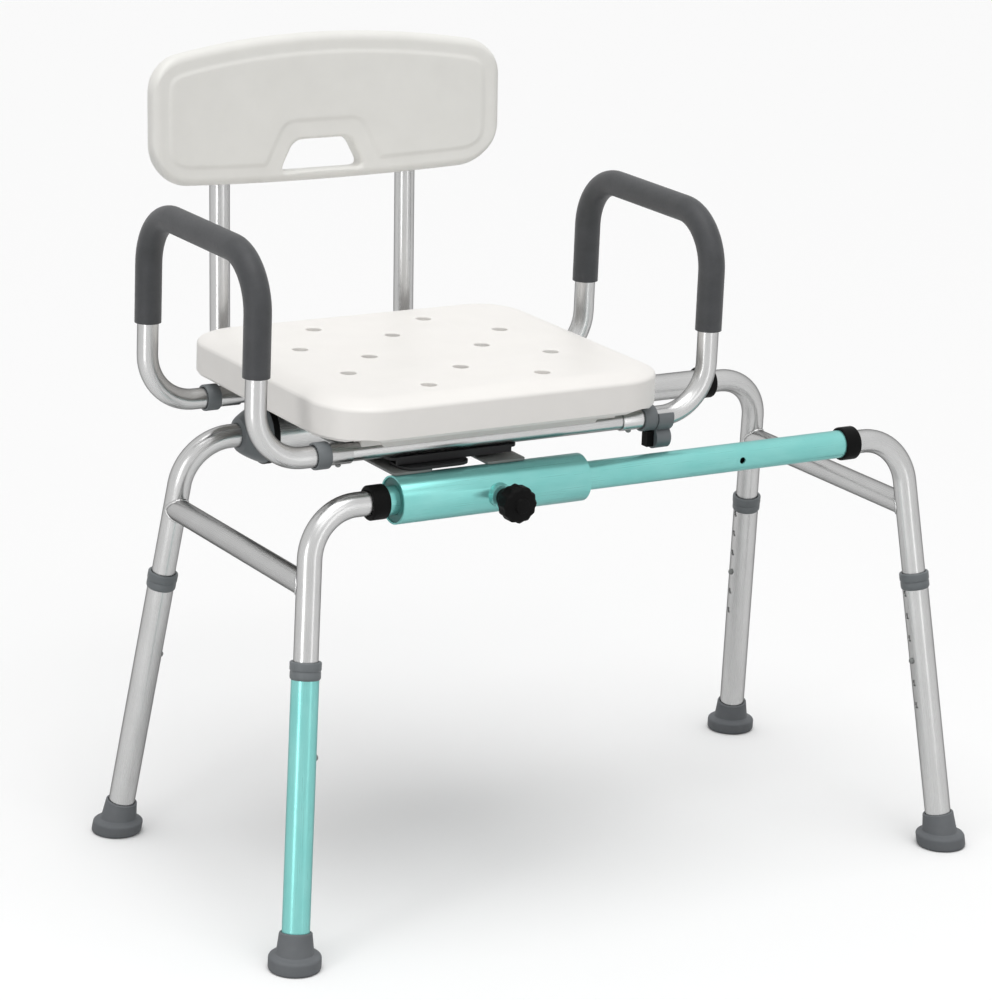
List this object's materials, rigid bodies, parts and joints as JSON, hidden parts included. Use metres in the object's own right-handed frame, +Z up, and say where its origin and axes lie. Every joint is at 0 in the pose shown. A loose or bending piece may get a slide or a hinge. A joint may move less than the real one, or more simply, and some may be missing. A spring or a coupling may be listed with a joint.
{
  "type": "sliding shower chair",
  "caption": "Shower chair whose swivel seat slides sideways along two rails, on four height-adjustable legs, with armrests and a backrest.",
  "frame": {"origin": "on the floor, at the centre of the chair's bounding box", "axes": "+X along the rails, towards the end that the seat slides to; +Y towards the backrest, the seat faces -Y; +Z up"},
  "size_m": [0.8636, 0.5215, 0.861],
  "materials": {
    "aluminium": "satin anodised tube",
    "teal_aluminium": "satin metallic coating",
    "steel": "plain zinc plated",
    "grey_plastic": "fine grain",
    "black_plastic": "fine grain",
    "black_metal": "powder coat",
    "foam": "closed cell foam",
    "seat_plastic": "moulded, slightly glossy",
    "back_plastic": "moulded, slightly glossy",
    "rubber": "matt",
    "bush_plastic": "smooth"
  },
  "bodies": {
    "base": {"rail_front": "teal_aluminium", "rail_rear": "aluminium", "rail_collar_FL": "black_plastic", "rail_collar_RL": "grey_plastic", "rail_collar_FR": "black_plastic", "rail_collar_RR": "black_plastic", "leg_upper_FL": "aluminium", "leg_upper_RL": "aluminium", "leg_upper_FR": "aluminium", "leg_upper_RR": "aluminium", "crossbar_L": "aluminium", "crossbar_R": "aluminium"},
    "leg_FL": {"leg_lower_FL": "teal_aluminium", "leg_collar_FL": "grey_plastic", "foot_FL": "rubber"},
    "leg_button_FL": {"leg_button_FL": "steel"},
    "leg_RL": {"leg_lower_RL": "aluminium", "leg_collar_RL": "grey_plastic", "foot_RL": "rubber"},
    "leg_button_RL": {"leg_button_RL": "steel"},
    "leg_FR": {"leg_lower_FR": "aluminium", "leg_collar_FR": "grey_plastic", "foot_FR": "rubber"},
    "leg_button_FR": {"leg_button_FR": "steel"},
    "leg_RR": {"leg_lower_RR": "aluminium", "leg_collar_RR": "grey_plastic", "foot_RR": "rubber"},
    "leg_button_RR": {"leg_button_RR": "steel"},
    "carriage": {"sleeve_front": "teal_aluminium", "sleeve_rear": "aluminium", "bush_front_L": "bush_plastic", "bush_front_R": "bush_plastic", "bush_rear_L": "bush_plastic", "bush_rear_R": "bush_plastic", "cross_plate_L": "aluminium", "cross_plate_R": "aluminium", "swivel_base_plate": "steel", "swivel_pivot": "steel"},
    "clamp_pad": {"clamp_pad": "bush_plastic"},
    "clamp_knob": {"clamp_knob": "black_plastic"},
    "swivel_lever": {"swivel_lever": "black_metal"},
    "seat": {"swivel_bearing": "black_metal", "swivel_top_plate": "black_metal", "seat_tube_front": "aluminium", "seat_tube_rear": "aluminium", "seat_shell": "seat_plastic", "back_panel": "back_plastic", "arm_tube_L": "aluminium", "arm_tube_R": "aluminium", "arm_grip_L": "foam", "arm_grip_R": "foam", "back_tube_L": "aluminium", "back_tube_R": "aluminium", "arm_collar_FL": "grey_plastic", "arm_collar_FR": "grey_plastic", "arm_collar_RL": "grey_plastic", "arm_collar_RR": "grey_plastic"},
    "rail_clip": {"rail_clip": "grey_plastic"},
    "arm_button_L": {"arm_button_L": "steel"},
    "arm_button_R": {"arm_button_R": "steel"}
  },
  "joints": [
    {"name": "leg_FL_height", "type": "slide", "parent": "base", "child": "leg_FL", "axis": [-0.0933, -0.1522, -0.9839], "range_m": [-0.0508, 0.1016]},
    {"name": "leg_FL_button_press", "type": "slide", "parent": "base", "child": "leg_button_FL", "axis": [-0.9956, 0.0143, 0.0922], "range_m": [0, 0.0045], "stiffness_N_per_m": 1500, "springref_m": -0.004},
    {"name": "leg_RL_height", "type": "slide", "parent": "base", "child": "leg_RL", "axis": [-0.0933, 0.1522, -0.9839], "range_m": [-0.0508, 0.1016]},
    {"name": "leg_RL_button_press", "type": "slide", "parent": "base", "child": "leg_button_RL", "axis": [-0.9956, -0.0143, 0.0922], "range_m": [0, 0.0045], "stiffness_N_per_m": 1500, "springref_m": -0.004},
    {"name": "leg_FR_height", "type": "slide", "parent": "base", "child": "leg_FR", "axis": [0.0933, -0.1522, -0.9839], "range_m": [-0.0508, 0.1016]},
    {"name": "leg_FR_button_press", "type": "slide", "parent": "base", "child": "leg_button_FR", "axis": [0.9956, 0.0143, 0.0922], "range_m": [0, 0.0045], "stiffness_N_per_m": 1500, "springref_m": -0.004},
    {"name": "leg_RR_height", "type": "slide", "parent": "base", "child": "leg_RR", "axis": [0.0933, 0.1522, -0.9839], "range_m": [-0.0508, 0.1016]},
    {"name": "leg_RR_button_press", "type": "slide", "parent": "base", "child": "leg_button_RR", "axis": [0.9956, -0.0143, 0.0922], "range_m": [0, 0.0045], "stiffness_N_per_m": 1500, "springref_m": -0.004},
    {"name": "carriage_slide", "type": "slide", "parent": "base", "child": "carriage", "axis": [1, 0, 0], "range_m": [0, 0.3192]},
    {"name": "seat_swivel", "type": "hinge", "parent": "carriage", "child": "seat", "pos_m": [-0.1927, -0.02401, 0.4884], "axis": [0, 0, 1], "continuous": true},
    {"name": "swivel_brake", "type": "hinge", "parent": "carriage", "child": "swivel_lever", "pos_m": [-0.2411, -0.11201, 0.4884], "axis": [0, 0, 1], "range_deg": [0, 15]},
    {"name": "clamp_press", "type": "slide", "parent": "carriage", "child": "clamp_pad", "axis": [0, -1, 0], "range_m": [0, 0.00375]},
    {"name": "clamp_turn", "type": "hinge", "parent": "clamp_pad", "child": "clamp_knob", "pos_m": [-0.1596, -0.16351, 0.457], "axis": [0, -1, 0], "range_deg": [0, 1080]},
    {"name": "clip_swing", "type": "hinge", "parent": "seat", "child": "rail_clip", "pos_m": [0.0485, -0.14651, 0.507], "axis": [1, 0, 0], "range_deg": [-90, 0]},
    {"name": "arm_L_button_press", "type": "slide", "parent": "seat", "child": "arm_button_L", "axis": [0, 0, 1], "range_m": [0, 0.0042], "stiffness_N_per_m": 1500, "springref_m": -0.004},
    {"name": "arm_R_button_press", "type": "slide", "parent": "seat", "child": "arm_button_R", "axis": [0, 0, 1], "range_m": [0, 0.0042], "stiffness_N_per_m": 1500, "springref_m": -0.004}
  ],
  "couplings": [
    {"joint": "clamp_turn", "follows": "clamp_press", "rad_per_m": 5026.5}
  ]
}
